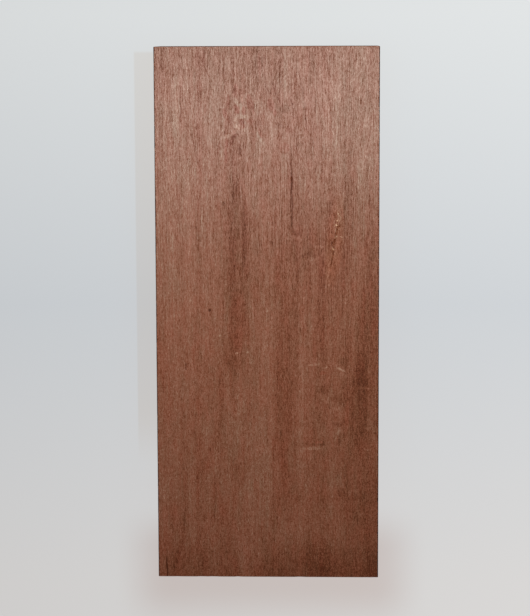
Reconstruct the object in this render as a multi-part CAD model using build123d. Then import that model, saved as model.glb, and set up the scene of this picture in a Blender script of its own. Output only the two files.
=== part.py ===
from build123d import *
from math import sqrt
import os

# A rectangular wood turning blank: one piece of red-brown hardwood, planed on its
# four long faces and cross-cut square at both ends. It lies on a wide face, with the
# grain along Y. The upper face has one short gum pocket, open to the air.

# Sizes of the blank, in millimetres.
LENGTH = 304.8
WIDTH = 127.0
THICKNESS = 50.8

# The arrises: the long ones are eased to a radius, the cross-cut ones are broken flat.
LONG_ARRIS_RADIUS = 0.4
END_ARRIS_CHAMFER = 0.3

# The gum pocket is a slender hollow in the upper face, nearly in line with the grain.
# Its length, width and depth are those of its mouth.
POCKET_LENGTH = 26.0
POCKET_WIDTH = 1.7
POCKET_DEPTH = 0.7
POCKET_FROM_RIGHT_EDGE = 25.2
POCKET_FROM_FAR_END = 111.0
POCKET_SLOPE_DEGREES = 10.5


def planed_stock() -> Part:
    """The planed bar: a section with eased corners, run along the grain."""
    across = Plane(origin=(0, 0, THICKNESS / 2), x_dir=(1, 0, 0), z_dir=(0, 1, 0))
    section = across * RectangleRounded(WIDTH, THICKNESS, LONG_ARRIS_RADIUS)
    return extrude(section, amount=LENGTH / 2, both=True)


def cross_cut(stock: Part) -> Part:
    """The stock with the sharp edge of each end's cut broken."""
    ends = stock.faces().filter_by(Axis.Y)
    return chamfer(ends.edges(), END_ARRIS_CHAMFER)


def gum_pocket() -> Part:
    """The hollow of the pocket: an arc turned about its chord, which lies above the face."""
    half_length = POCKET_LENGTH / 2
    half_width = POCKET_WIDTH / 2
    # Both arcs, the one along the pocket's bed and the one across it, run from its
    # mouth at the face down to its depth.
    bed_radius = (half_length**2 + POCKET_DEPTH**2) / (2 * POCKET_DEPTH)
    middle_radius = (half_width**2 + POCKET_DEPTH**2) / (2 * POCKET_DEPTH)
    chord_height = middle_radius - POCKET_DEPTH
    tip = sqrt(middle_radius * (2 * bed_radius - middle_radius))
    bed = ThreePointArc((0, -tip), (middle_radius, 0), (0, tip))
    profile = make_face([bed, Line((0, tip), (0, -tip))])
    spindle = revolve(profile, axis=Axis.Y)
    place = Pos(
        WIDTH / 2 - POCKET_FROM_RIGHT_EDGE,
        LENGTH / 2 - POCKET_FROM_FAR_END,
        THICKNESS + chord_height,
    )
    return place * Rot(Z=-POCKET_SLOPE_DEGREES) * spindle


def turning_blank() -> Part:
    """The whole blank, one solid."""
    return cross_cut(planed_stock()) - gum_pocket()


os.makedirs("parts", exist_ok=True)
export_step(turning_blank(), "parts/blank.step")
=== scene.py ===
"""A planed block of red-brown hardwood for turning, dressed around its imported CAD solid.

Sizes in the classes are in metres, as in the frame. Sizes that belong to the grain and its
figure are in millimetres, counted from the middle of the upper face: across is towards the
right edge, along is towards the far end.
"""

import logging
import math
from abc import ABC, abstractmethod
from dataclasses import dataclass, field, replace
from enum import Enum
from typing import Any, Dict, Iterable, Mapping, Optional, Sequence, Tuple, Union

import bmesh
import bpy
from mathutils import Matrix, Vector, noise

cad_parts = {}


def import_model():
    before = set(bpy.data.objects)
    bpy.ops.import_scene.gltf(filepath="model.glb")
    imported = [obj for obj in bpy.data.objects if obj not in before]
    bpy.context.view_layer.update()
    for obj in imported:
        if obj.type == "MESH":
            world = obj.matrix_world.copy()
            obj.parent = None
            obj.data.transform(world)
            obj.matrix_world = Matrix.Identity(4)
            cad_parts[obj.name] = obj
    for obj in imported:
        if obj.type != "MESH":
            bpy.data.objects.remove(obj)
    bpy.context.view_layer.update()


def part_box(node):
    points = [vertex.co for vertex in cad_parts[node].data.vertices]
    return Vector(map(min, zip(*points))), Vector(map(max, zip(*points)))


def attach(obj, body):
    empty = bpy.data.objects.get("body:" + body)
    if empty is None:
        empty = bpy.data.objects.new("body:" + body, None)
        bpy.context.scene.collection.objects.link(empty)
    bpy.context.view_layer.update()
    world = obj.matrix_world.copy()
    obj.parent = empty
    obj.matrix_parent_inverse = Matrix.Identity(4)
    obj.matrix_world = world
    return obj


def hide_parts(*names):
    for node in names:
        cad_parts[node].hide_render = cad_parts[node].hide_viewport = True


logging.basicConfig(level=logging.INFO, format="%(name)s: %(message)s")
LOG = logging.getLogger("turning_blank")

MILLIMETRE = 0.001
# Points no further apart than this lie together, and a cut takes in vertices no further off than that.
TOUCH = 1e-6
CUT_SNAP = 1e-7

Pair = Tuple[float, float]
Triple = Tuple[float, float, float]
Colour = Triple
Number = Union[float, "Value"]
Settings = Optional[Mapping[str, Any]]
Sockets = Optional[Mapping[Union[str, int], Any]]


class Value:
    """A number or a vector that varies over a surface: one socket, with arithmetic on it."""

    def __init__(self, shader: "Shader", socket: bpy.types.NodeSocket) -> None:
        """Keeps an output socket of a number or a vector, and its material."""
        self.shader = shader
        self.socket = socket

    def _join(self, operation: str, *terms: Any) -> "Value":
        """One arithmetic node.

        Args:
            operation: The operation's name in the Math and Vector Math nodes.
            terms: Its inputs, in order, of which one or more is a Value.

        Returns:
            The node's result.
        """
        vectors = any(isinstance(term, Value) and term.socket.type != "VALUE" for term in terms)
        kind = "ShaderNodeVectorMath" if vectors else "ShaderNodeMath"
        if vectors:
            terms = tuple((term,) * 3 if isinstance(term, (int, float)) else term for term in terms)
        return self.shader.value(kind, {"operation": operation}, dict(enumerate(terms)))

    def __add__(self, other: Any) -> "Value":
        """The sum."""
        return self._join("ADD", self, other)

    __radd__ = __add__

    def __sub__(self, other: Any) -> "Value":
        """The difference."""
        return self._join("SUBTRACT", self, other)

    def __rsub__(self, other: Any) -> "Value":
        """The difference from a plain number."""
        return self._join("SUBTRACT", other, self)

    def __mul__(self, other: Any) -> "Value":
        """The product."""
        return self._join("MULTIPLY", self, other)

    __rmul__ = __mul__

    def __abs__(self) -> "Value":
        """The size without its sign."""
        return self._join("ABSOLUTE", self)

    def dot(self, other: Any) -> "Value":
        """The dot product of this vector and another."""
        settings = {"operation": "DOT_PRODUCT"}
        return self.shader.value("ShaderNodeVectorMath", settings, {0: self, 1: other}, "Value")

    def root(self) -> "Value":
        """The square root."""
        return self._join("SQRT", self)

    def times_plus(self, factor: Number, term: Number) -> "Value":
        """This value times a factor, plus a term, in one node."""
        return self._join("MULTIPLY_ADD", self, factor, term)

    def ramp(self, start: Number, end: Number) -> "Value":
        """A smooth rise from 0 at start to 1 at end, which may be the lower of the two."""
        sockets = {"Value": self, "From Min": start, "From Max": end}
        return self.shader.value("ShaderNodeMapRange", {"interpolation_type": "SMOOTHSTEP"}, sockets)


class Shader:
    """A material made of nodes."""

    def __init__(self, name: str) -> None:
        """Makes the material, empty but for its output."""
        self.material = bpy.data.materials.new(name)
        self.material.use_nodes = True
        self.tree = self.material.node_tree
        self.tree.nodes.clear()
        self.output = self.tree.nodes.new("ShaderNodeOutputMaterial")

    def node(self, kind: str, settings: Settings = None, sockets: Sockets = None) -> bpy.types.Node:
        """Adds a node.

        Args:
            kind: The node's type.
            settings: Its properties, set first. The stops of a ramp are pairs of place and colour.
            sockets: Its inputs by name or number: a Value, an output socket or a constant.

        Returns:
            The node.
        """
        made = self.tree.nodes.new(kind)
        for name, setting in (settings or {}).items():
            if name == "stops":
                self._set_stops(made.color_ramp, setting)
            else:
                setattr(made, name, setting)
        for name, given in (sockets or {}).items():
            source = given.socket if isinstance(given, Value) else given
            if isinstance(source, bpy.types.NodeSocket):
                self.tree.links.new(source, made.inputs[name])
            else:
                made.inputs[name].default_value = source
        return made

    @staticmethod
    def _set_stops(ramp: bpy.types.ColorRamp, stops: Sequence[Tuple[float, Colour]]) -> None:
        """Sets the stops of a colour ramp, which are pairs of place and colour."""
        while len(ramp.elements) < len(stops):
            ramp.elements.new(1.0)
        for element, (place, colour) in zip(ramp.elements, stops):
            element.position = place
            element.color = (*colour, 1.0)

    def value(
        self, kind: str, settings: Settings = None, sockets: Sockets = None, output: Union[str, int] = 0
    ) -> Value:
        """Adds a node and gives one of its outputs as a Value."""
        return Value(self, self.node(kind, settings, sockets).outputs[output])

    def mix(self, share: Number, first: Any, second: Any) -> Value:
        """Mixes two colours, of which the second has the share."""
        sockets = {0: share, 6: first, 7: second}
        return self.value("ShaderNodeMix", {"data_type": "RGBA"}, sockets, output=2)

    def speckle(self, place: Value, pitch: Triple, detail: float) -> Value:
        """Noise from 0 to 1, with the size of its grains along each axis in millimetres."""
        scaled = place * tuple(1.0 / size for size in pitch)
        sockets = {"Vector": scaled, "Scale": 1.0, "Detail": detail, "Roughness": 0.55}
        return self.value("ShaderNodeTexNoise", sockets=sockets)

    def finish(self, surface: bpy.types.Node) -> bpy.types.Material:
        """Joins a node's surface to the output and gives the finished material."""
        self.tree.links.new(surface.outputs[0], self.output.inputs["Surface"])
        return self.material


class Recipe(Shader):
    """A group of nodes that a material uses again and again."""

    def __init__(self, name: str, inputs: Mapping[str, str], outputs: Mapping[str, str]) -> None:
        """Makes the group, with the type of each input and output by its name."""
        self.tree = bpy.data.node_groups.new(name, "ShaderNodeTree")
        for way, sockets in (("INPUT", inputs), ("OUTPUT", outputs)):
            for socket, kind in sockets.items():
                self.tree.interface.new_socket(name=socket, in_out=way, socket_type=kind)
        self.start = self.node("NodeGroupInput")
        self.end = self.node("NodeGroupOutput")

    def given(self, name: str) -> Value:
        """What the group is given at one of its inputs."""
        return Value(self, self.start.outputs[name])

    def gives(self, **results: Value) -> None:
        """Joins results to the outputs of the same names."""
        for name, result in results.items():
            self.tree.links.new(result.socket, self.end.inputs[name])


def rgba(colour: Colour) -> Tuple[float, float, float, float]:
    """The colour with an alpha of 1."""
    return (*colour, 1.0)


WHITE = rgba((1.0, 1.0, 1.0))


class Reach(Enum):
    """How far a mark in the figure goes into the wood."""

    LAYER = "follows its growth layer through the block"
    FACE = "shows on the upper face alone"
    SPOT = "shows on the upper face with a clean edge"
    CRUMBS = "lies about the upper face in crumbs"


@dataclass(frozen=True)
class Mark:
    """A mark in the figure: a soft oval, darker or paler, redder or greyer than what is about it.

    The turn is in degrees, and a positive one leans the top of the mark to the left. The edge is
    the share of the oval over which the mark fades in, and 0 stands for that of its group.
    """

    across: float
    along: float
    width: float
    length: float
    tone: float
    red: float = 0.0
    turn: float = 0.0
    edge: float = 0.0


class Group:
    """The marks that make up one feature of the figure."""

    def __init__(self, name: str, reach: Reach, edge: float, *marks: Mark) -> None:
        """Keeps the marks, each with the group's edge unless it names its own."""
        self.name = name
        self.reach = reach
        self.marks = tuple(replace(mark, edge=mark.edge or edge) for mark in marks)


FIGURE: Tuple[Group, ...] = (
    Group(
        "broad dark band", Reach.LAYER, 0.6,
        Mark(-17.8, 14.0, 16.2, 126.0, -0.13, 0.2, edge=0.3),
        Mark(-17.8, 42.0, 14.0, 108.0, -0.10, 0.2),
        Mark(-12.6, 46.0, 4.5, 44.0, -0.08, 0.6, edge=0.7),
        Mark(-16.5, -4.0, 8.0, 30.0, -0.04, 0.9, edge=0.8),
        Mark(-19.0, -23.0, 11.0, 20.0, -0.10, 0.1, edge=0.8),
        Mark(-17.5, 84.0, 12.0, 34.0, -0.08, 0.3, edge=0.9),
    ),
    Group(
        "red bands", Reach.LAYER, 0.6,
        Mark(9.2, -42.0, 9.5, 92.0, -0.12, 0.3),
        Mark(6.2, -88.0, 7.0, 62.0, -0.09, 0.5, edge=0.8),
        Mark(3.2, -121.0, 4.5, 24.0, -0.06, -0.4),
        Mark(30.8, 10.0, 4.0, 54.0, -0.12, 0.5),
        Mark(31.3, -22.0, 1.8, 16.0, -0.13, 0.1),
        Mark(37.0, 34.0, 11.0, 56.0, -0.03, 0.5, edge=1.0),
        Mark(-38.0, 116.0, 3.2, 78.0, -0.07, 0.9, turn=1.0),
        Mark(-38.3, 76.0, 3.0, 30.0, -0.02, 0.4),
        Mark(4.8, 62.0, 1.4, 42.0, -0.05, 0.3, turn=-1.5),
    ),
    Group(
        "right dark band", Reach.LAYER, 0.6,
        Mark(54.0, -18.0, 6.5, 64.0, -0.12, 0.1),
        Mark(52.5, -50.0, 9.5, 50.0, -0.16),
        Mark(51.0, -92.0, 11.0, 56.0, -0.12, -0.2, edge=0.9),
        Mark(60.5, -8.0, 4.0, 50.0, -0.09, 0.4),
    ),
    Group(
        "grey and tan grounds", Reach.LAYER, 0.9,
        Mark(-29.0, 122.0, 9.0, 74.0, 0.0, -0.5),
        Mark(50.0, 98.0, 20.0, 92.0, 0.0, -0.5),
        Mark(54.0, 70.0, 6.0, 40.0, 0.02, -0.5),
        Mark(-54.0, 112.0, 10.0, 90.0, 0.04, 0.2),
        Mark(-51.4, 117.0, 4.4, 40.0, 0.05, -0.9, edge=0.8),
        Mark(26.0, 128.0, 22.0, 56.0, 0.0, 0.5),
        Mark(2.0, 76.0, 14.0, 80.0, 0.06, 0.1),
        Mark(-6.0, -92.0, 14.0, 58.0, 0.10, -0.5),
        Mark(-22.0, -78.0, 14.0, 40.0, 0.02, -0.4),
        Mark(-46.0, -2.0, 26.0, 90.0, 0.04, 0.1, edge=1.0),
        Mark(20.0, -58.0, 10.0, 60.0, 0.02, 0.1),
        Mark(0.0, -36.0, 9.0, 56.0, 0.05, 0.1),
        Mark(-37.0, 30.0, 28.0, 300.0, 0.03, 0.1, edge=0.8),
        Mark(54.0, 10.0, 20.0, 320.0, -0.035, edge=0.8),
        Mark(11.0, 20.0, 14.0, 280.0, -0.025, edge=0.8),
        Mark(0.0, 92.0, 180.0, 44.0, 0.035, edge=1.0),
        Mark(0.0, 32.0, 180.0, 36.0, -0.03, edge=1.0),
    ),
    Group(
        "broad drift of the tone", Reach.LAYER, 1.0,
        Mark(15.5, 42.0, 11.0, 130.0, -0.08, 0.2),
        Mark(-17.0, 8.0, 14.0, 120.0, 0.06, -0.5, edge=0.8),
        Mark(-26.5, 10.0, 9.0, 66.0, 0.08, -0.3),
        Mark(-48.0, 46.0, 34.0, 66.0, 0.06, -0.2),
        Mark(-4.5, 10.0, 9.0, 160.0, 0.06, -0.1),
        Mark(50.0, 112.0, 36.0, 70.0, 0.055, -0.1),
        Mark(37.0, 98.0, 9.0, 66.0, 0.045, -0.1),
        Mark(59.5, -25.0, 10.0, 110.0, -0.09),
        Mark(48.0, -38.0, 9.0, 44.0, -0.05),
        Mark(60.0, -124.0, 10.0, 64.0, -0.12, 0.2),
        Mark(28.0, -147.0, 58.0, 26.0, -0.09, 0.2),
        Mark(-11.0, -144.0, 16.0, 24.0, 0.12),
        Mark(-37.0, -124.0, 9.0, 62.0, -0.05),
        Mark(-56.0, -128.0, 14.0, 32.0, -0.05, 0.4),
        Mark(5.0, -76.0, 9.0, 44.0, 0.08, -0.2),
        Mark(-16.0, -86.0, 9.0, 23.0, -0.11, 0.1),
        Mark(-37.0, 104.0, 9.0, 60.0, 0.055, -0.3),
        Mark(-17.0, 74.0, 12.0, 34.0, 0.05, -0.4),
        Mark(37.0, 48.0, 9.0, 26.0, -0.05),
        Mark(-60.0, 146.0, 9.0, 24.0, -0.06),
        Mark(53.0, 145.0, 24.0, 26.0, 0.06, -0.1),
        Mark(0.0, 152.0, 220.0, 36.0, -0.035),
        Mark(16.0, -10.0, 10.0, 26.0, -0.05),
        Mark(-59.0, -20.0, 9.0, 44.0, -0.065, 0.5),
        Mark(-5.0, -29.0, 9.0, 20.0, -0.05),
        Mark(48.0, 76.0, 9.0, 34.0, -0.05, 0.2),
        Mark(13.0, -104.0, 16.0, 24.0, -0.05, 0.1),
        Mark(-26.0, -124.0, 9.0, 26.0, -0.06, 0.3),
        Mark(49.0, -124.0, 9.0, 26.0, -0.07, 0.1),
        Mark(-37.0, -86.0, 9.0, 24.0, -0.05, 0.1),
        Mark(-5.0, 146.0, 10.0, 24.0, -0.06),
        Mark(-26.0, 144.0, 9.0, 22.0, -0.04),
        Mark(59.5, 104.0, 8.0, 34.0, 0.05),
        Mark(0.0, -128.0, 220.0, 50.0, 0.008, 0.12),
    ),
    Group(
        "fine lines", Reach.LAYER, 0.6,
        Mark(13.6, 84.0, 2.4, 24.0, -0.14, 0.2),
        Mark(13.9, 67.0, 1.5, 30.0, -0.36, 0.3),
        Mark(38.7, 121.0, 1.1, 44.0, 0.11, -0.1),
        Mark(41.0, 124.0, 0.9, 22.0, 0.03),
        Mark(53.5, 113.0, 1.4, 26.0, -0.09, 0.2),
        Mark(-50.8, 118.0, 2.0, 30.0, 0.12, 0.2),
        Mark(-48.6, 118.5, 0.9, 18.0, -0.13, 0.6),
        Mark(-57.0, 124.0, 1.1, 52.0, 0.08, 0.2),
        Mark(-35.6, 145.5, 1.6, 11.0, -0.13, 1.0),
        Mark(-41.0, 96.0, 1.2, 20.0, -0.16, 0.3, turn=11.0),
        Mark(21.2, 119.0, 0.8, 24.0, -0.17, 0.1, turn=4.0),
        Mark(-34.6, -41.0, 1.5, 32.0, -0.06, 0.2),
        Mark(-25.2, -46.0, 2.0, 24.0, -0.07, 0.3, turn=-3.0),
    ),
    Group(
        "slanting lines near the near end", Reach.LAYER, 0.6,
        Mark(-32.5, -76.0, 3.2, 42.0, -0.10, 0.2, turn=-24.0),
        Mark(-30.8, -106.0, 2.6, 28.0, -0.14, -0.1, turn=-3.0),
        Mark(-54.7, -119.0, 1.5, 10.0, -0.10),
        Mark(-48.2, -118.0, 1.5, 14.0, -0.17, turn=-5.0),
        Mark(-52.0, -139.0, 2.4, 20.0, -0.11, 0.1, turn=-16.0),
        Mark(-38.0, -142.5, 5.0, 14.0, -0.07, 0.3, turn=-14.0),
        Mark(-18.3, -143.0, 2.2, 16.0, -0.07, 0.2),
        Mark(-58.9, -147.0, 1.1, 12.0, -0.55),
    ),
    Group(
        "flame", Reach.FACE, 0.4,
        Mark(-17.4, 129.6, 2.2, 4.0, -0.09, 3.0),
        Mark(-18.0, 126.6, 2.6, 5.0, -0.15, 1.8),
        Mark(-15.0, 127.0, 2.4, 4.4, -0.1, 1.5),
        Mark(-21.6, 121.4, 1.5, 8.0, -0.12, 2.1),
        Mark(-23.6, 115.4, 2.4, 5.0, -0.2, 2.2, turn=10.0),
        Mark(-21.2, 111.0, 2.4, 6.0, -0.17, 1.0, turn=14.0),
        Mark(-20.0, 107.6, 1.6, 4.4, -0.08, 0.8),
        Mark(-17.0, 117.4, 2.6, 5.4, -0.16, 3.0, turn=24.0, edge=0.35),
        Mark(-13.0, 116.6, 2.0, 4.6, -0.1, 2.4),
        Mark(-9.8, 121.4, 3.4, 8.8, -0.10, 1.8, turn=6.0),
        Mark(-7.6, 118.4, 1.0, 6.4, -0.18, 2.4, turn=6.0),
        Mark(-14.2, 110.2, 2.8, 3.8, -0.25, 2.1, turn=24.0, edge=0.3),
        Mark(-13.2, 107.4, 1.6, 3.0, -0.12, 1.8, turn=-30.0),
        Mark(-9.0, 110.6, 5.0, 2.6, -0.04, 1.2, edge=0.5),
        Mark(-4.6, 109.4, 3.4, 4.4, -0.14, 0.3, edge=0.5),
        Mark(-3.8, 104.2, 1.6, 5.6, -0.16, 2.4, turn=14.0, edge=0.5),
        Mark(-18.2, 102.2, 4.6, 1.7, -0.25, 1.8, turn=32.0, edge=0.35),
        Mark(-19.8, 98.8, 1.6, 4.2, -0.22, 2.1, turn=-14.0, edge=0.35),
        Mark(-22.4, 98.4, 1.5, 5.0, -0.19, 1.8),
        Mark(-24.4, 104.0, 3.0, 1.6, -0.18, 0.3, turn=20.0),
        Mark(-27.2, 95.6, 1.4, 8.0, -0.24, 1.2, turn=-8.0),
        Mark(-23.0, 91.0, 1.5, 9.0, -0.12, 1.5, edge=0.5),
        Mark(-15.3, 94.6, 1.6, 7.0, -0.22, edge=0.5),
        Mark(-12.6, 96.6, 1.2, 8.0, -0.06, edge=0.5),
        Mark(2.4, 120.0, 3.6, 6.6, -0.17, 2.4, turn=12.0, edge=0.5),
        Mark(4.6, 115.4, 2.0, 4.0, -0.07, 1.8, edge=0.5),
    ),
    Group(
        "pale tongues in the flame", Reach.FACE, 0.4,
        Mark(-16.8, 121.2, 2.6, 4.6, 0.19, -1.0, turn=42.0, edge=0.35),
        Mark(-14.6, 119.0, 1.8, 3.4, 0.24, -0.8),
        Mark(-14.0, 123.2, 1.3, 4.8, 0.19, 1.0),
        Mark(-18.4, 118.6, 0.9, 4.6, 0.12, -0.6, edge=0.5),
        Mark(-15.4, 113.2, 6.6, 2.8, 0.15, -0.6, turn=6.0, edge=0.35),
        Mark(-11.2, 113.2, 3.6, 2.2, 0.13, -0.3),
        Mark(-7.4, 114.0, 1.4, 5.0, 0.12, 0.8),
        Mark(-17.8, 109.8, 2.2, 6.4, 0.24, -0.4, turn=-4.0),
        Mark(-16.2, 107.0, 2.6, 4.4, 0.20, 0.8, turn=-14.0, edge=0.3),
        Mark(-12.8, 106.2, 1.5, 2.8, 0.30, -0.4, turn=30.0, edge=0.35),
        Mark(-18.8, 104.2, 3.0, 1.8, 0.16, 0.8, turn=34.0),
        Mark(-22.2, 102.2, 3.6, 1.9, 0.26, -0.4, turn=24.0),
        Mark(-5.2, 103.2, 1.4, 5.6, 0.10, -0.6, turn=26.0, edge=0.5),
        Mark(-2.6, 99.2, 2.0, 5.0, 0.18, -0.6, turn=30.0, edge=0.5),
        Mark(-25.8, 95.2, 1.5, 6.6, 0.06, -0.4, turn=-6.0),
        Mark(-25.6, 89.6, 1.4, 6.0, 0.18, edge=0.5),
        Mark(-4.2, 118.0, 5.0, 8.0, 0.05, -1.0, edge=0.8),
    ),
    Group(
        "lines bent about the flame", Reach.FACE, 0.5,
        Mark(-4.0, 142.0, 1.6, 16.0, -0.09, 1.4, turn=2.0),
        Mark(-1.0, 135.6, 1.0, 13.0, -0.09, 0.2, turn=4.0),
        Mark(0.8, 127.8, 1.2, 6.0, -0.15, 0.3, turn=38.0),
        Mark(2.6, 137.6, 1.1, 10.0, -0.10, 0.3, turn=12.0),
        Mark(4.2, 129.6, 1.1, 9.0, -0.16, 0.6, turn=20.0),
        Mark(6.4, 123.6, 1.1, 6.0, -0.16, 0.8, turn=28.0),
        Mark(13.4, 122.6, 1.1, 7.6, -0.27, 0.5, turn=22.0),
        Mark(14.8, 115.6, 1.0, 8.0, -0.14, 0.2, turn=4.0),
        Mark(19.4, 131.0, 1.0, 15.0, -0.17, turn=8.0),
        Mark(10.4, 131.4, 1.4, 3.8, 0.02, -0.6),
        Mark(11.6, 124.6, 2.2, 3.0, 0.19, -0.2),
        Mark(9.8, 117.4, 6.4, 4.2, -0.11, -0.4, turn=10.0, edge=0.6),
        Mark(-2.4, 141.0, 1.2, 12.0, -0.03, -0.4, edge=0.6),
        Mark(12.6, 105.6, 4.6, 4.2, -0.11, 0.6, turn=-20.0),
        Mark(15.8, 103.8, 1.6, 4.0, -0.03, 0.2),
        Mark(7.4, 108.4, 5.4, 2.0, -0.15, 0.2, turn=-28.0),
        Mark(10.0, 95.4, 5.0, 6.0, -0.09, 1.2, edge=0.6),
        Mark(18.6, 97.4, 5.0, 2.0, -0.08, -0.4, edge=0.6),
        Mark(22.0, 110.0, 0.9, 8.0, -0.18, turn=6.0),
        Mark(20.4, 117.0, 1.0, 14.0, 0.06, -0.6),
    ),
    Group(
        "ripples beside the pocket", Reach.FACE, 0.6,
        Mark(23.5, 34.8, 9.5, 3.2, -0.14, 0.2, turn=8.0),
        Mark(29.6, 39.8, 6.0, 1.1, 0.22),
        Mark(22.8, 31.8, 6.6, 1.0, 0.10, turn=5.0),
        Mark(29.8, 34.2, 8.0, 1.0, 0.14, 0.1, turn=40.0),
        Mark(18.5, 44.0, 4.0, 3.0, 0.10, 0.1),
        Mark(17.0, 47.5, 4.2, 3.0, -0.14, 0.3),
    ),
    Group(
        "line across below the middle", Reach.FACE, 0.6,
        Mark(-9.0, -26.9, 6.0, 1.6, 0.13, 0.1),
        Mark(12.0, -26.7, 13.0, 0.9, 0.09),
        Mark(26.4, -28.0, 7.0, 1.3, 0.30, -0.2, turn=4.0),
        Mark(33.4, -29.6, 2.4, 1.2, 0.30, -0.3, turn=25.0),
        Mark(31.6, -32.6, 3.6, 2.0, -0.02, 1.6),
        Mark(42.0, -30.8, 5.6, 1.2, 0.40, -0.3, turn=-22.0),
        Mark(42.0, -34.0, 6.4, 4.6, 0.07, -0.3),
        Mark(43.0, -26.0, 7.4, 3.6, -0.10, -0.2),
        Mark(57.0, -32.2, 3.4, 1.4, 0.09),
        Mark(33.0, -42.4, 5.8, 5.4, -0.12),
        Mark(33.0, -48.0, 3.0, 4.6, 0.13, -0.1, turn=20.0),
        Mark(39.6, -48.6, 8.4, 2.8, -0.12, 0.1, turn=-14.0),
        Mark(40.4, -55.4, 7.4, 8.0, 0.07),
        Mark(35.2, -52.6, 1.2, 2.6, -0.26),
        Mark(45.0, -39.6, 26.0, 1.4, -0.07, 0.1),
        Mark(39.6, -62.4, 6.4, 2.0, -0.20, turn=-8.0),
        Mark(38.4, -68.2, 4.4, 7.6, 0.12, -0.2, turn=-14.0),
        Mark(40.8, -66.4, 2.0, 4.6, 0.20, -0.4, turn=-20.0),
        Mark(41.0, -71.0, 1.1, 6.0, -0.24),
        Mark(27.0, -71.6, 14.0, 3.0, -0.06, 0.3),
        Mark(28.0, -74.6, 11.0, 1.1, -0.20),
        Mark(32.2, -73.6, 1.3, 2.4, -0.26),
        Mark(21.4, -73.6, 3.0, 1.6, -0.12),
        Mark(29.4, -73.0, 4.4, 1.2, 0.10, 1.4),
        Mark(25.6, -76.6, 11.0, 1.3, 0.24, -0.3),
        Mark(57.6, -62.6, 4.4, 7.0, 0.12, -0.6),
        Mark(57.4, -77.6, 5.6, 1.0, 0.20, -0.5, turn=-14.0),
        Mark(55.6, -79.0, 4.0, 0.8, 0.12, -0.4),
        Mark(54.6, -41.4, 7.0, 1.1, 0.12, -0.2, turn=-4.0),
        Mark(53.0, -38.0, 9.0, 3.4, -0.08),
        Mark(45.4, -58.0, 2.4, 16.0, 0.03, 1.2),
        Mark(37.5, -94.0, 6.0, 10.0, 0.04, -0.4),
    ),
    Group(
        "line across above the near end", Reach.FACE, 0.6,
        Mark(40.0, -106.4, 46.0, 1.5, -0.05, 0.1),
        Mark(17.4, -105.6, 4.4, 3.2, -0.13),
        Mark(42.0, -102.6, 4.4, 5.4, -0.19, 0.1),
        Mark(46.6, -103.2, 1.6, 3.0, 0.12),
        Mark(52.0, -104.4, 8.0, 3.0, -0.07),
        Mark(33.4, -137.6, 8.0, 2.2, -0.06, 0.2, turn=-22.0),
        Mark(30.6, -147.0, 8.0, 3.0, -0.05, turn=-16.0),
    ),
    Group(
        "specks", Reach.FACE, 0.6,
        Mark(-32.9, 3.3, 1.8, 1.8, -0.38),
        Mark(-27.6, -38.2, 1.4, 3.6, -0.20),
        Mark(-46.6, -29.0, 1.0, 4.4, -0.46),
        Mark(-24.6, 64.0, 1.2, 2.2, -0.35),
        Mark(-42.2, 50.6, 6.0, 2.0, -0.17, -0.1, turn=-5.0),
        Mark(-31.5, -27.5, 7.0, 10.0, 0.0, -0.5),
        Mark(0.0, 2.8, 1.6, 1.2, 0.42, -0.2),
        Mark(-26.6, 50.2, 1.0, 1.6, 0.20, -0.2),
        Mark(-17.5, -21.4, 1.8, 1.1, 0.50),
        Mark(-11.5, -20.8, 1.3, 1.2, 0.46),
        Mark(-27.0, -11.2, 1.3, 1.2, 0.60),
        Mark(2.2, 42.2, 2.2, 1.8, -0.22),
    ),
    Group(
        "crumbs of gum", Reach.CRUMBS, 0.6,
        Mark(39.4, 50.0, 3.2, 5.4, 0.34, -0.4, turn=-14.0),
        Mark(39.0, 45.6, 2.0, 2.6, 0.10, -0.4),
        Mark(37.4, 40.2, 1.6, 3.6, 0.10, -0.3),
        Mark(37.8, 36.6, 3.0, 9.0, 0.24, -0.2),
        Mark(40.0, 56.6, 3.0, 8.0, 0.12, -0.2, turn=10.0),
    ),
    Group(
        "drops of gum", Reach.SPOT, 0.6,
        Mark(40.2, 58.5, 0.6, 1.2, 0.60, -0.2, turn=30.0),
        Mark(40.9, 57.3, 0.6, 1.0, 0.50, -0.2, turn=30.0),
        Mark(41.6, 55.6, 0.5, 2.6, 0.40, turn=-8.0),
        Mark(39.7, 54.5, 0.7, 0.9, 1.0, -0.2),
        Mark(38.9, 52.3, 0.8, 1.3, 0.62, -0.2, turn=30.0),
        Mark(39.5, 51.8, 0.9, 0.6, 0.55, -0.2, turn=-10.0),
        Mark(39.1, 45.4, 1.3, 0.8, 0.50, -0.6, turn=35.0, edge=0.5),
        Mark(38.4, 44.5, 0.8, 0.7, 0.60, -0.6),
        Mark(38.9, 48.9, 0.6, 1.2, 0.30, -0.8),
        Mark(41.7, 45.4, 1.0, 0.6, 0.55, -0.4, turn=-12.0),
        Mark(42.4, 45.1, 0.6, 0.5, 0.60, -0.4),
        Mark(37.0, 38.9, 0.6, 1.0, 0.55, -0.4, turn=35.0),
        Mark(37.6, 38.1, 0.8, 0.8, 0.95, -0.4),
        Mark(36.6, 39.9, 0.5, 0.9, 0.30, -0.4),
    ),
    Group(
        "gum and painted cleft shade in the pocket", Reach.FACE, 0.6,
        Mark(38.5, 45.0, 8.0, 30.0, 0.03, 0.2, edge=1.0),
        Mark(39.8, 40.6, 1.5, 8.0, 0.10, 0.6, turn=-8.0, edge=0.5),
        Mark(38.8, 36.2, 2.4, 5.0, 0.02, -0.3),
        Mark(36.8, 53.4, 1.0, 9.0, 0.09, 1.0, turn=-4.0, edge=0.5),
        Mark(42.6, 58.4, 1.0, 8.0, 0.14, 1.0, turn=6.0, edge=0.5),
        Mark(43.6, 56.0, 0.9, 8.0, -0.12, 0.8, turn=6.0, edge=0.5),
        Mark(42.0, 59.6, 0.7, 4.0, -0.10, 0.6, turn=8.0),
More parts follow.
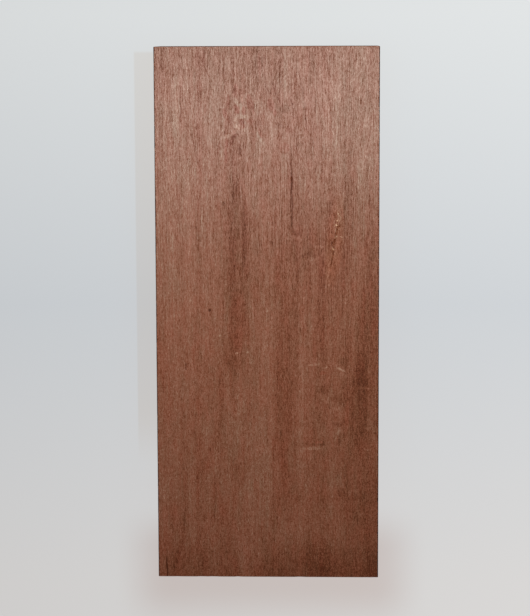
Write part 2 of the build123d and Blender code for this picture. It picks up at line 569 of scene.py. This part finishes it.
        # From here to the next pale mark, the darker marks lie in the open cleft: painted shade in the
        # hollow, on top of the real shade that its depth gives.
        Mark(40.7, 51.4, 2.8, 1.0, -0.18, turn=38.0, edge=0.4),
        Mark(39.4, 48.6, 1.3, 3.6, -0.28, turn=-20.0, edge=0.4),
        Mark(38.3, 43.6, 1.0, 1.8, -0.24, edge=0.4),
        Mark(36.8, 41.2, 1.1, 2.8, -0.26, 0.2, edge=0.4),
        Mark(37.6, 42.2, 0.8, 1.6, -0.26, edge=0.4),
        Mark(37.3, 34.4, 0.8, 6.6, -0.11, 0.2, turn=-4.0),
        Mark(36.5, 30.4, 0.8, 4.6, -0.16, 0.2, turn=-8.0),
        Mark(35.0, 32.6, 0.7, 8.0, -0.04, 0.4, turn=-2.0),
        Mark(36.6, 45.8, 0.7, 3.6, 0.26, 0.6, turn=20.0),
        Mark(34.9, 25.4, 0.8, 5.0, 0.26, 0.6, turn=-10.0),
        Mark(36.4, 27.2, 0.8, 4.4, 0.13, 0.6, turn=-8.0),
        Mark(33.7, 19.6, 0.8, 5.6, 0.07, 0.4, turn=-6.0),
        Mark(35.0, 18.0, 0.8, 5.6, 0.24, 0.4, turn=-4.0),
    ),
)


@dataclass(frozen=True)
class Growth:
    """The growth layers: rings about a pith that lies outside the block, low on its left."""

    pith_across: float = -190.0
    pith_height: float = -60.0

    def layer(self, across: Value, height: Value, face_height: float) -> Value:
        """Where the growth layer of a point comes out in the upper face, counted across."""
        face_rise = face_height - self.pith_height
        run = across - self.pith_across
        rise = height - self.pith_height
        squared = run * run + (rise * rise - face_rise**2)
        return squared.root() + self.pith_across


@dataclass(frozen=True)
class Texture:
    """One kind of unevenness in the wood.

    The pitch is the size of its grains across, along and upwards, in millimetres. The strength is
    that of its share in the tone, or in millimetres where it bends the others, and the relief is
    that of its share in the bump.
    """

    pitch: Triple
    strength: float
    relief: float = 0.0
    detail: float = 0.0

    def about_zero(self, shader: Shader, place: Value) -> Value:
        """The noise at a place, about a middle of 0 and not yet multiplied by its strength."""
        return shader.speckle(place, self.pitch, self.detail) - 0.5


@dataclass(frozen=True)
class TurningWood:
    """The finish of the bare planed hardwood, all through the block.

    Pairs of places are where a change starts and where it is complete, in millimetres. Those of
    the near end, the end grain and the arris are counted inwards from the end or the side.
    """

    growth: Growth = Growth()
    sway: Texture = Texture((14.0, 60.0, 14.0), 2.5, detail=1.0)
    quiver: Texture = Texture((2.5, 7.0, 2.5), 1.1, detail=1.0)
    fibre_quiver: float = 1.0
    rings: Texture = Texture((6.0, 260.0, 90.0), 0.42, detail=2.0)
    stripes: Texture = Texture((1.1, 30.0, 14.0), 0.15, detail=2.0)
    threads: Texture = Texture((0.36, 30.0, 0.36), 0.42)
    lines: Texture = Texture((0.34, 8.0, 0.34), 0.46, 0.7)
    streaks: Texture = Texture((0.34, 1.6, 0.34), 0.64, 0.8)
    mottle: Texture = Texture((0.38, 0.42, 0.38), 0.86, 0.5)
    pores: Texture = Texture((0.48, 5.0, 0.48), 0.10, 1.0)
    pore_edge: Pair = (0.63, 0.73)
    patches: Texture = Texture((3.6, 12.0, 8.0), 3.6, detail=2.0)
    stripe_redness: float = -2.2
    far_part: Pair = (-50.0, 70.0)
    fibres_near: float = 0.50
    fibres_gain: float = 0.55
    mottle_gain: float = -0.34
    ground: float = 0.51
    tones: Tuple[Tuple[float, Colour], ...] = (
        (0.0, (0.085, 0.024, 0.010)),
        (0.18, (0.160, 0.049, 0.021)),
        (0.333, (0.224, 0.080, 0.042)),
        (0.487, (0.266, 0.111, 0.067)),
        (0.667, (0.350, 0.186, 0.124)),
        (1.0, (0.640, 0.450, 0.290)),
    )
    tone_span: float = 1.5
    redder: Colour = (1.100, 0.875, 0.865)
    greyer: Colour = (0.910, 1.090, 1.120)
    hue_slope: float = 0.25
    amber: Colour = (1.030, 1.000, 0.860)
    amber_spot: Mark = Mark(38.4, 43.0, 8.0, 42.0, 1.0, turn=-6.0, edge=1.0)
    near_end: Pair = (30.0, -4.0)
    near_end_tone: float = -0.20
    end_grain: Pair = (0.12, 0.02)
    end_grain_tone: float = -0.16
    end_grain_roughness: float = 0.25
    end_grain_sheen: float = -0.30
    arris: Pair = (0.55, 0.20)
    arris_meeting: Pair = (1.1, 1.9)
    # Painted highlight: how much paler the arrises are made.
    arris_painted_highlight: float = 0.30
    face_depth: float = 4.0
    ragged_scale: float = 0.45
    raggedness: Triple = (1.5, 2.2, 0.0)
    crumb: Texture = Texture((0.50, 0.60, 0.50), 1.0)
    crumb_edge: Pair = (0.46, 0.60)
    roughness: float = 0.40
    specular: float = 0.08
    sheen: float = 0.38
    sheen_of_tone: float = 0.65
    sheen_of_grain: float = 1.15
    sheen_roughness: float = 0.30
    bump_strength: float = 0.6
    bump_height: float = 0.0001

    def material(self, high: Vector) -> bpy.types.Material:
        """Makes the material.

        Args:
            high: The block's highest corner, in metres.

        Returns:
            The material.
        """
        shader = Shader("turning_wood")
        place = shader.value("ShaderNodeTexCoord", output="Object") * (1000.0, 1000.0, 1000.0)
        parts = shader.node("ShaderNodeSeparateXYZ", sockets={0: place})
        across, along, height = (Value(shader, output) for output in parts.outputs)
        half_width, half_length, face_height = (size / MILLIMETRE for size in high)
        layer = self.growth.layer(across, height, face_height)
        sway = self.sway.about_zero(shader, place)
        quiver = self.quiver.about_zero(shader, place)
        bent = layer + sway.times_plus(self.sway.strength, quiver * self.quiver.strength)
        layered = shader.value("ShaderNodeCombineXYZ", sockets={0: bent, 1: along, 2: height})
        drift = quiver * self.fibre_quiver + sway * self.sway.strength
        fibre = place + shader.value("ShaderNodeCombineXYZ", sockets={0: drift})

        rings = self.rings.about_zero(shader, layered)
        stripes = self.stripes.about_zero(shader, layered)
        threads = self.threads.about_zero(shader, fibre)
        lines = self.lines.about_zero(shader, fibre)
        streaks = self.streaks.about_zero(shader, fibre)
        mottle = self.mottle.about_zero(shader, place)
        pores = shader.speckle(fibre, self.pores.pitch, self.pores.detail).ramp(*self.pore_edge)
        patches = self.patches.about_zero(shader, layered)

        far = along.ramp(*self.far_part)
        fibres = threads * self.threads.strength + lines * self.lines.strength
        fibres = fibres * far.times_plus(self.fibres_gain, self.fibres_near)
        mottling = mottle * far.times_plus(self.mottle_gain, self.mottle.strength)
        grain = fibres + streaks * self.streaks.strength + mottling - pores * self.pores.strength
        tone = rings.times_plus(self.rings.strength, self.ground)
        tone = stripes.times_plus(self.stripes.strength, tone)
        red = patches.times_plus(self.patches.strength, stripes * self.stripe_redness)
        near_face = height.ramp(face_height - self.face_depth, face_height - 0.5 * self.face_depth)

        sources = self._sources(shader, place, layered, near_face)
        recipe = self._mark_recipe()
        for group in FIGURE:
            source, share = sources[group.reach]
            spot = self._flat(source)
            for mark in group.marks:
                given = {"spot": spot, "share": share, "tone": tone, "red": red}
                tone, red = self._added(shader, recipe, mark, group.name, given)

        near_end = along.ramp(*(inwards - half_length for inwards in self.near_end))
        tone = near_end.times_plus(self.near_end_tone, tone)
        end_grain = abs(along).ramp(*(half_length - inwards for inwards in self.end_grain))
        tone = end_grain.times_plus(self.end_grain_tone, tone)
        half_height = 0.5 * face_height
        halves = ((across, half_width), (along, half_length), (height - half_height, half_height))
        sides = (abs(away).ramp(*(half - inwards for inwards in self.arris)) for away, half in halves)
        arris = sum(sides, 0.0).ramp(*self.arris_meeting)
        # Painted highlight: the tone is raised along the arrises, as if light caught them.
        tone = arris.times_plus(self.arris_painted_highlight, tone)
        sheen = (tone - self.ground).times_plus(
            self.sheen_of_tone, grain.times_plus(self.sheen_of_grain, self.sheen)
        )
        tone = (tone + grain) * (1.0 / self.tone_span)

        colour = shader.value("ShaderNodeValToRGB", {"stops": self.tones}, {"Fac": tone})
        hue = shader.mix(red.times_plus(self.hue_slope, 0.5), rgba(self.greyer), rgba(self.redder))
        given = {"spot": self._flat(place), "share": near_face}
        amber, _ = self._added(shader, recipe, self.amber_spot, "amber ground", given)
        colour = colour * hue * shader.mix(amber, WHITE, rgba(self.amber))

        relief = streaks * self.streaks.relief + lines * self.lines.relief
        relief = relief + mottle * self.mottle.relief - pores * self.pores.relief
        bump = shader.value(
            "ShaderNodeBump",
            sockets={"Strength": self.bump_strength, "Distance": self.bump_height, "Height": relief},
        )
        surface = shader.node(
            "ShaderNodeBsdfPrincipled",
            sockets={
                "Base Color": colour,
                "Roughness": end_grain.times_plus(self.end_grain_roughness, self.roughness),
                "Specular IOR Level": self.specular,
                "Coat Weight": end_grain.times_plus(self.end_grain_sheen, sheen),
                "Coat Roughness": self.sheen_roughness,
                "Normal": bump,
            },
        )
        return shader.finish(surface)

    def _sources(
        self, shader: Shader, place: Value, layered: Value, near_face: Value
    ) -> Mapping[Reach, Tuple[Value, Number]]:
        """Where the marks of each reach are looked up, and how much of them shows.

        Args:
            shader: The material.
            place: The point's place.
            layered: Its place with its growth layer in place of its place across.
            near_face: 1 at the upper face and 0 deeper down.

        Returns:
            A place and a share for each reach.
        """
        warped = {"Vector": place * self.ragged_scale, "Detail": 2.0}
        warp = shader.value("ShaderNodeTexNoise", sockets=warped, output=1)
        ragged = place + (warp - 0.5) * self.raggedness
        crumbs = shader.speckle(place, self.crumb.pitch, self.crumb.detail).ramp(*self.crumb_edge)
        return {
            Reach.LAYER: (layered, 1.0),
            Reach.FACE: (ragged, near_face),
            Reach.SPOT: (place, near_face),
            Reach.CRUMBS: (place, near_face * crumbs),
        }

    def _added(
        self, shader: Shader, recipe: Recipe, mark: Mark, label: str, given: Mapping[str, Any]
    ) -> Tuple[Value, Value]:
        """Adds one mark.

        Args:
            shader: The material.
            recipe: The recipe for a mark.
            mark: The mark.
            label: What the node is labelled.
            given: The spot, the share, and the tone and the redness without the mark, or 0.

        Returns:
            The tone and the redness with it.
        """
        settings = {"node_tree": recipe.tree, "label": label}
        added = shader.node("ShaderNodeGroup", settings, {**given, **self._oval(mark)})
        return Value(shader, added.outputs["tone"]), Value(shader, added.outputs["red"])

    @staticmethod
    def _flat(place: Value) -> Value:
        """The place in the face with 1 for its height, so that a dot product can move it too."""
        return place * (1.0, 1.0, 0.0) + (0.0, 0.0, 1.0)

    @staticmethod
    def _mark_recipe() -> Recipe:
        """The recipe that adds one mark to the tone and the redness."""
        number, vector = "NodeSocketFloat", "NodeSocketVector"
        inputs = {name: vector for name in ("spot", "sideways", "lengthways")}
        numbers = ("outer", "inner", "share", "darker", "redder", "tone", "red")
        inputs.update({name: number for name in numbers})
        recipe = Recipe("mark", inputs, {"tone": number, "red": number})
        sideways, lengthways = (
            recipe.given("spot").dot(recipe.given(name)) for name in ("sideways", "lengthways")
        )
        away = sideways.times_plus(sideways, lengthways * lengthways)
        share = away.ramp(recipe.given("outer"), recipe.given("inner")) * recipe.given("share")
        recipe.gives(
            tone=share.times_plus(recipe.given("darker"), recipe.given("tone")),
            red=share.times_plus(recipe.given("redder"), recipe.given("red")),
        )
        return recipe

    @staticmethod
    def _oval(mark: Mark) -> Mapping[str, Any]:
        """What the recipe is given for a mark: the values of its sockets by name."""
        cosine = math.cos(math.radians(mark.turn))
        sine = math.sin(math.radians(mark.turn))
        given: Dict[str, Any] = {"darker": mark.tone, "redder": mark.red}
        ways = (("sideways", mark.width, cosine, sine), ("lengthways", mark.length, -sine, cosine))
        for name, size, right, ahead in ways:
            start = right * mark.across + ahead * mark.along
            given[name] = tuple(2.0 * part / size for part in (right, ahead, -start))
        given["outer"] = (1.0 + 0.5 * mark.edge) ** 2
        given["inner"] = (1.0 - 0.5 * mark.edge) ** 2
        return given


class Hollow(ABC):
    """An open hollow in the upper face, with its sizes in millimetres."""

    cut_pitch: Pair

    @abstractmethod
    def zone(self, axis: int) -> Pair:
        """The stretch of the face that the hollow lies in.

        Args:
            axis: 0 for across, 1 for along.

        Returns:
            Its two ends.
        """

    @abstractmethod
    def sink(self, across: float, along: float) -> float:
        """How deep the hollow is at a point of the face.

        Args:
            across: The point's place across the face.
            along: Its place along the face.

        Returns:
            The depth, which is 0 outside the hollow.
        """


@dataclass(frozen=True)
class Station:
    """A point on the bed of the gum pocket, with the pocket's width and depth there."""

    across: float
    along: float
    width: float
    depth: float


@dataclass(frozen=True)
class GumPocket(Hollow):
    """The open pocket in the upper face: a ragged cleft nearly in line with the grain."""

    stations: Tuple[Station, ...] = (
        Station(41.6, 52.0, 0.4, 0.10),
        Station(39.9, 50.4, 1.0, 0.45),
        Station(39.0, 46.8, 1.1, 0.55),
        Station(38.9, 45.0, 0.5, 0.10),
        Station(38.2, 43.4, 0.9, 0.40),
        Station(37.0, 41.0, 1.0, 0.45),
        Station(37.4, 38.6, 0.4, 0.08),
        Station(37.4, 35.4, 0.5, 0.25),
        Station(36.8, 32.0, 0.5, 0.25),
        Station(36.0, 28.8, 0.5, 0.18),
        Station(35.8, 25.6, 0.3, 0.04),
    )
    raggedness: float = 0.35
    raggedness_pitch: float = 1.1
    cut_pitch: Pair = (0.15, 0.35)
    margin: float = 1.0

    def zone(self, axis: int) -> Pair:
        """The stretch of the face that the stations span, with a margin."""
        places = [(station.across, station.along)[axis] for station in self.stations]
        return min(places) - self.margin, max(places) + self.margin

    def sink(self, across: float, along: float) -> float:
        """The depth of a rounded bed about the line from station to station."""
        deepest = 0.0
        point = Vector((across, along))
        for first, second in zip(self.stations, self.stations[1:]):
            start = Vector((first.across, first.along))
            run = Vector((second.across, second.along)) - start
            share = min(max((point - start).dot(run) / run.length_squared, 0.0), 1.0)
            aside = (point - start - run * share).length
            width = first.width + (second.width - first.width) * share
            depth = first.depth + (second.depth - first.depth) * share
            jag = noise.noise(Vector((across, along, 0.0)) / self.raggedness_pitch)
            reach = 0.5 * width * (1.0 + self.raggedness * jag)
            if aside < reach:
                deepest = max(deepest, depth * math.sqrt(1.0 - (aside / reach) ** 2))
        return deepest


@dataclass(frozen=True)
class Pit(Hollow):
    """A small open hole in the upper face, drawn out along the grain."""

    across: float
    along: float
    width: float
    length: float
    depth: float
    cut_pitch: Pair = (0.15, 0.25)
    margin: float = 0.1

    def zone(self, axis: int) -> Pair:
        """The stretch of the face that the pit spans, with a margin that is a share of its size."""
        middle, size = ((self.across, self.width), (self.along, self.length))[axis]
        reach = (0.5 + self.margin) * size
        return middle - reach, middle + reach

    def sink(self, across: float, along: float) -> float:
        """The depth of a bowl."""
        aside = 2.0 * (across - self.across) / self.width
        ahead = 2.0 * (along - self.along) / self.length
        return self.depth * max(1.0 - aside**2 - ahead**2, 0.0)


PITS: Tuple[Pit, ...] = (
    Pit(13.8, 78.2, 0.9, 2.8, 0.45),
    Pit(-32.9, 3.3, 0.9, 1.2, 0.35),
    Pit(-38.5, 25.0, 0.7, 0.9, 0.25),
)


@dataclass
class SawnBlank:
    """The block itself: one piece, planed on its long faces and cross-cut at its ends.

    The band of the wear is a share of the long arris. A normal's part beyond upward belongs to the
    upper side, and one beyond flat to a face that stays flat.
    """

    low: Vector
    high: Vector
    finish: TurningWood = field(default_factory=TurningWood)
    pocket: GumPocket = field(default_factory=GumPocket)
    pits: Tuple[Pit, ...] = PITS
    long_arris: float = 0.0004
    end_arris: float = 0.0003
    arris_steps: int = 4
    pitches: Triple = (0.0022, 0.0030, 0.0022)
    wear: float = 0.00022
    wear_pitch: float = 0.0035
    wear_threshold: float = 0.1
    wear_band: float = 1.2
    upward: float = 0.9
    flat: float = 0.9999

    def build(self) -> bpy.types.Object:
        """Models and dresses the piece.

        Returns:
            The finished object.
        """
        shape = bmesh.new()
        size = self.high - self.low
        middle = (self.high + self.low) / 2
        placed = Matrix.Translation(middle) @ Matrix.Diagonal((*size, 1.0))
        bmesh.ops.create_cube(shape, size=1.0, matrix=placed)
        self._ease(shape)
        self._divide(shape)
        self._sink_pocket(shape)
        self._wear_arrises(shape)
        self._smooth_hollows(shape)
        mesh = bpy.data.meshes.new("sawn_blank")
        shape.to_mesh(mesh)
        shape.free()
        mesh.materials.append(self.finish.material(self.high))
        piece = bpy.data.objects.new("sawn_blank", mesh)
        bpy.context.scene.collection.objects.link(piece)
        return piece

    def _ease(self, shape: bmesh.types.BMesh) -> None:
        """Rounds the long arrises and breaks those of the ends.

        Args:
            shape: The plain block.
        """
        long_edges = [
            edge for edge in shape.edges if abs(edge.verts[0].co.y - edge.verts[1].co.y) > self.high.y
        ]
        common = {"offset_type": "OFFSET", "affect": "EDGES", "profile": 0.5, "material": -1}
        steps = self.arris_steps
        bmesh.ops.bevel(shape, geom=long_edges, offset=self.long_arris, segments=steps, **common)
        end_edges = [
            edge
            for edge in shape.edges
            if all(abs(abs(vert.co.y) - self.high.y) < TOUCH for vert in edge.verts)
        ]
        bmesh.ops.bevel(shape, geom=end_edges, offset=self.end_arris, segments=1, **common)
        for vert in shape.verts:
            for axis in range(3):
                vert.co[axis] = min(max(vert.co[axis], self.low[axis]), self.high[axis])

    @staticmethod
    def _cut(
        shape: bmesh.types.BMesh, geometry: Sequence[Any], axis: int, places: Iterable[float]
    ) -> Sequence[Any]:
        """Cuts part of the shape along planes that stand square to an axis.

        Args:
            shape: The shape.
            geometry: The vertices, edges and faces that are cut.
            axis: The axis.
            places: The planes' places on it, in metres.

        Returns:
            The geometry with what the cuts made.
        """
        normal = Vector((0.0, 0.0, 0.0))
        normal[axis] = 1.0
        for place in places:
            cut = bmesh.ops.bisect_plane(
                shape, geom=geometry, dist=CUT_SNAP, plane_co=normal * place, plane_no=normal
            )
            geometry = cut["geom"]
        return geometry

    def _divide(self, shape: bmesh.types.BMesh) -> None:
        """Cuts the faces into an even grid, and those about each hollow into a finer one.

        Args:
            shape: The eased block.
        """
        geometry = shape.verts[:] + shape.edges[:] + shape.faces[:]
        for axis, pitch in enumerate(self.pitches):
            span = self.high[axis] - self.low[axis]
            count = round(span / pitch)
            places = [self.low[axis] + span * step / count for step in range(1, count)]
            geometry = self._cut(shape, geometry, axis, places)
        for hollow in (self.pocket, *self.pits):
            zones = [hollow.zone(axis) for axis in range(2)]
            about = [face for face in shape.faces if self._meets(face, zones)]
            geometry = about + list({part for face in about for part in (*face.verts, *face.edges)})
            for axis, pitch in enumerate(hollow.cut_pitch):
                start, end = zones[axis]
                steps = round((end - start) / pitch) + 1
                places = [(start + pitch * step) * MILLIMETRE for step in range(steps)]
                geometry = self._cut(shape, geometry, axis, places)

    def _meets(self, face: bmesh.types.BMFace, zones: Sequence[Pair]) -> bool:
        """Whether a face of the upper side lies in the zone of a hollow.

        Args:
            face: The face.
            zones: The zone's two ends across and along, in millimetres.

        Returns:
            True if any part of it does.
        """
        if face.normal.z < self.upward:
            return False
        for axis, (start, end) in enumerate(zones):
            places = [vert.co[axis] / MILLIMETRE for vert in face.verts]
            if max(places) <= start or min(places) >= end:
                return False
        return True

    def _sink_pocket(self, shape: bmesh.types.BMesh) -> None:
        """Sinks the pocket and the pits into the upper face."""
        for vert in shape.verts:
            if vert.co.z > self.high.z - TOUCH:
                across, along = vert.co.x / MILLIMETRE, vert.co.y / MILLIMETRE
                depths = [hollow.sink(across, along) for hollow in (self.pocket, *self.pits)]
                vert.co.z -= max(depths) * MILLIMETRE

    def _wear_arrises(self, shape: bmesh.types.BMesh) -> None:
        """Wears the arrises a little unevenly, always inwards.

        Args:
            shape: The block with its hollows.
        """
        middle = (self.high + self.low) / 2
        half = (self.high - self.low) / 2
        band = self.long_arris * self.wear_band
        for vert in shape.verts:
            offset = vert.co - middle
            near = [abs(offset[axis]) > half[axis] - band for axis in range(3)]
            if sum(near) < 2:
                continue
            worn = max(noise.noise(vert.co / self.wear_pitch) - self.wear_threshold, 0.0) * self.wear
            for axis in range(3):
                if near[axis]:
                    vert.co[axis] -= math.copysign(worn, offset[axis])

    def _smooth_hollows(self, shape: bmesh.types.BMesh) -> None:
        """Shades the hollows and the arrises smooth, and leaves the flat faces flat."""
        for face in shape.faces:
            face.smooth = max(abs(part) for part in face.normal) < self.flat


@dataclass(frozen=True)
class PalePaper:
    """The finish of the floor: pale paper, whose glow holds painted light that makes it a little paler
    towards the right and the far end.

    The glow also holds painted shade: a soft shade below the block's near end, and a faint strip of
    shade along its left side. Their pairs of places are where the painted shade starts and where it
    is full.
    """

    # The glow's tones carry painted light: paler towards the far end, and paler towards the right.
    near_tone: Colour = (0.650, 0.629, 0.616)
    middle_tone: Colour = (0.589, 0.602, 0.620)
    far_tone: Colour = (0.709, 0.716, 0.714)
    reach: float = 0.170
    rightward: float = 0.35
    # Painted shade below the block's near end: its colour, and where it starts and where it is full.
    painted_foot_shade: Colour = (0.878, 0.812, 0.792)
    foot_shade_near: Pair = (-0.206, -0.170)
    foot_shade_far: Pair = (-0.120, -0.150)
    foot_shade_sides: Pair = (0.096, 0.062)
    # Painted shade in a faint strip along the block's left side: its colour and its edges.
    painted_lee_shade: Colour = (0.960, 0.922, 0.888)
    lee_shade_left: Pair = (-0.0798, -0.0788)
    lee_shade_right: Pair = (0.001, 0.0)
    lee_shade_near: Pair = (-0.100, -0.062)
    lee_shade_far: Pair = (0.150, 0.148)
    shade: Colour = (0.015, 0.030, 0.040)
    bounce: Colour = (0.65, 0.65, 0.66)

    def material(self) -> bpy.types.Material:
        """Makes the material, whose own tone the camera sees with the painted shade in it; its faint
        diffuse part takes the object's real shadow.

        Returns:
            The material.
        """
        shader = Shader("pale_paper")
        place = shader.value("ShaderNodeTexCoord", output="Object")
        parts = shader.node("ShaderNodeSeparateXYZ", sockets={0: place})
        across, along = (Value(shader, parts.outputs[axis]) for axis in range(2))
        # Painted light: the glow's tone changes along the floor and grows paler towards the right.
        stops = ((0.0, self.near_tone), (0.5, self.middle_tone), (1.0, self.far_tone))
        share = along.times_plus(0.5 / self.reach, 0.5)
        tone = shader.value("ShaderNodeValToRGB", {"stops": stops}, {"Fac": share})
        tone = tone * across.times_plus(self.rightward, 1.0)
        # Painted shade: the glow is darkened below the block's near end, in place of a cast shadow.
        painted_foot_shade = along.ramp(*self.foot_shade_near) * along.ramp(*self.foot_shade_far)
        painted_foot_shade = painted_foot_shade * abs(across).ramp(*self.foot_shade_sides)
        # Painted shade: a faint strip of shadow along the block's left side, darkened into the glow.
        painted_lee_shade = across.ramp(*self.lee_shade_left) * across.ramp(*self.lee_shade_right)
        painted_lee_shade = painted_lee_shade * along.ramp(*self.lee_shade_near) * along.ramp(*self.lee_shade_far)
        tone = tone * shader.mix(painted_foot_shade, WHITE, rgba(self.painted_foot_shade)) * shader.mix(painted_lee_shade, WHITE, rgba(self.painted_lee_shade))
        glow = shader.node("ShaderNodeEmission", sockets={"Color": tone})
        shaded = shader.node("ShaderNodeBsdfDiffuse", sockets={"Color": rgba(self.shade)})
        seen = shader.node("ShaderNodeAddShader", sockets={0: glow.outputs[0], 1: shaded.outputs[0]})
        bounced = shader.node("ShaderNodeBsdfDiffuse", sockets={"Color": rgba(self.bounce)})
        path = shader.node("ShaderNodeLightPath")
        sockets = {0: path.outputs["Is Camera Ray"], 1: bounced.outputs[0], 2: seen.outputs[0]}
        return shader.finish(shader.node("ShaderNodeMixShader", sockets=sockets))


@dataclass
class Studio:
    """The plain floor, the lamps and the camera."""

    paper: PalePaper = field(default_factory=PalePaper)
    lens: float = 120.0
    sensor: float = 36.0
    camera_place: Vector = field(default_factory=lambda: Vector((0.0362, 0.1580, 1.2085)))
    camera_aim: Vector = field(default_factory=lambda: Vector((-0.00133, 0.00468, 0.0508)))
    camera_roll: float = math.radians(-0.195)
    nearest_seen: float = 0.01
    floor_reach: float = 3.0
    floor_steps: int = 8
    world_strength: float = 0.19
    soft_place: Vector = field(default_factory=lambda: Vector((0.030, 0.171, 0.502)))
    soft_aim: Vector = field(default_factory=lambda: Vector((0.0, 0.204, 0.050)))
    soft_size: Pair = (0.40, 0.24)
    soft_power: float = 2.47
    soft_colour: Colour = (1.0, 0.985, 0.925)

    def build(self) -> None:
        """Sets up the whole studio."""
        self._add_camera()
        self._add_floor()
        self._add_lamp("soft box", self.soft_place, self.soft_aim, self.soft_size, self.soft_power)
        world = bpy.data.worlds.new("studio")
        bpy.context.scene.world = world
        world.use_nodes = True
        background = world.node_tree.nodes["Background"]
        background.inputs["Color"].default_value = WHITE
        background.inputs["Strength"].default_value = self.world_strength
        bpy.context.scene.view_settings.view_transform = "Standard"

    def _add_camera(self) -> None:
        """Adds the camera, which looks down on the block."""
        data = bpy.data.cameras.new("camera")
        data.sensor_fit = "VERTICAL"
        data.sensor_height = self.sensor
        data.lens = self.lens
        data.clip_start = self.nearest_seen
        camera = bpy.data.objects.new("camera", data)
        turned = self._facing(self.camera_place, self.camera_aim)
        camera.matrix_world = turned @ Matrix.Rotation(self.camera_roll, 4, "Z")
        bpy.context.scene.collection.objects.link(camera)
        bpy.context.scene.camera = camera

    @staticmethod
    def _facing(place: Vector, aim: Vector) -> Matrix:
        """The placing of a camera or lamp that looks at a point, upright along +Y."""
        back = (place - aim).normalized()
        right = Vector((0.0, 1.0, 0.0)).cross(back).normalized()
        up = back.cross(right)
        turned = Matrix((right, up, back)).transposed().to_4x4()
        return Matrix.Translation(place) @ turned

    def _add_lamp(
        self, name: str, place: Vector, aim: Vector, size: Pair, power: float
    ) -> None:
        """Adds a flat soft lamp.

        Args:
            name: The lamp's name.
            place: Where it hangs.
            aim: The point that it looks at.
            size: Its width and its depth.
            power: Its power in watts.
        """
        data = bpy.data.lights.new(name, "AREA")
        data.shape = "RECTANGLE"
        data.size, data.size_y = size
        data.energy = power
        data.color = self.soft_colour
        lamp = bpy.data.objects.new(name, data)
        lamp.matrix_world = self._facing(place, aim)
        lamp.visible_camera = False
        bpy.context.scene.collection.objects.link(lamp)

    def _add_floor(self) -> None:
        """Adds the pale floor, which isn't part of the object."""
        shape = bmesh.new()
        steps = self.floor_steps
        bmesh.ops.create_grid(shape, x_segments=steps, y_segments=steps, size=self.floor_reach)
        mesh = bpy.data.meshes.new("floor")
        shape.to_mesh(mesh)
        shape.free()
        floor = bpy.data.objects.new("floor", mesh)
        bpy.context.scene.collection.objects.link(floor)
        mesh.materials.append(self.paper.material())


def main() -> None:
    """Loads the frame, builds the block and its studio, and ties them together."""
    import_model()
    low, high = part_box("blank")
    blank = SawnBlank(low, high)
    piece = blank.build()
    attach(piece, "root")
    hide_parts("blank")
    LOG.info("%s: %d faces", piece.name, len(piece.data.polygons))
    Studio().build()


if __name__ == "__main__":
    main()
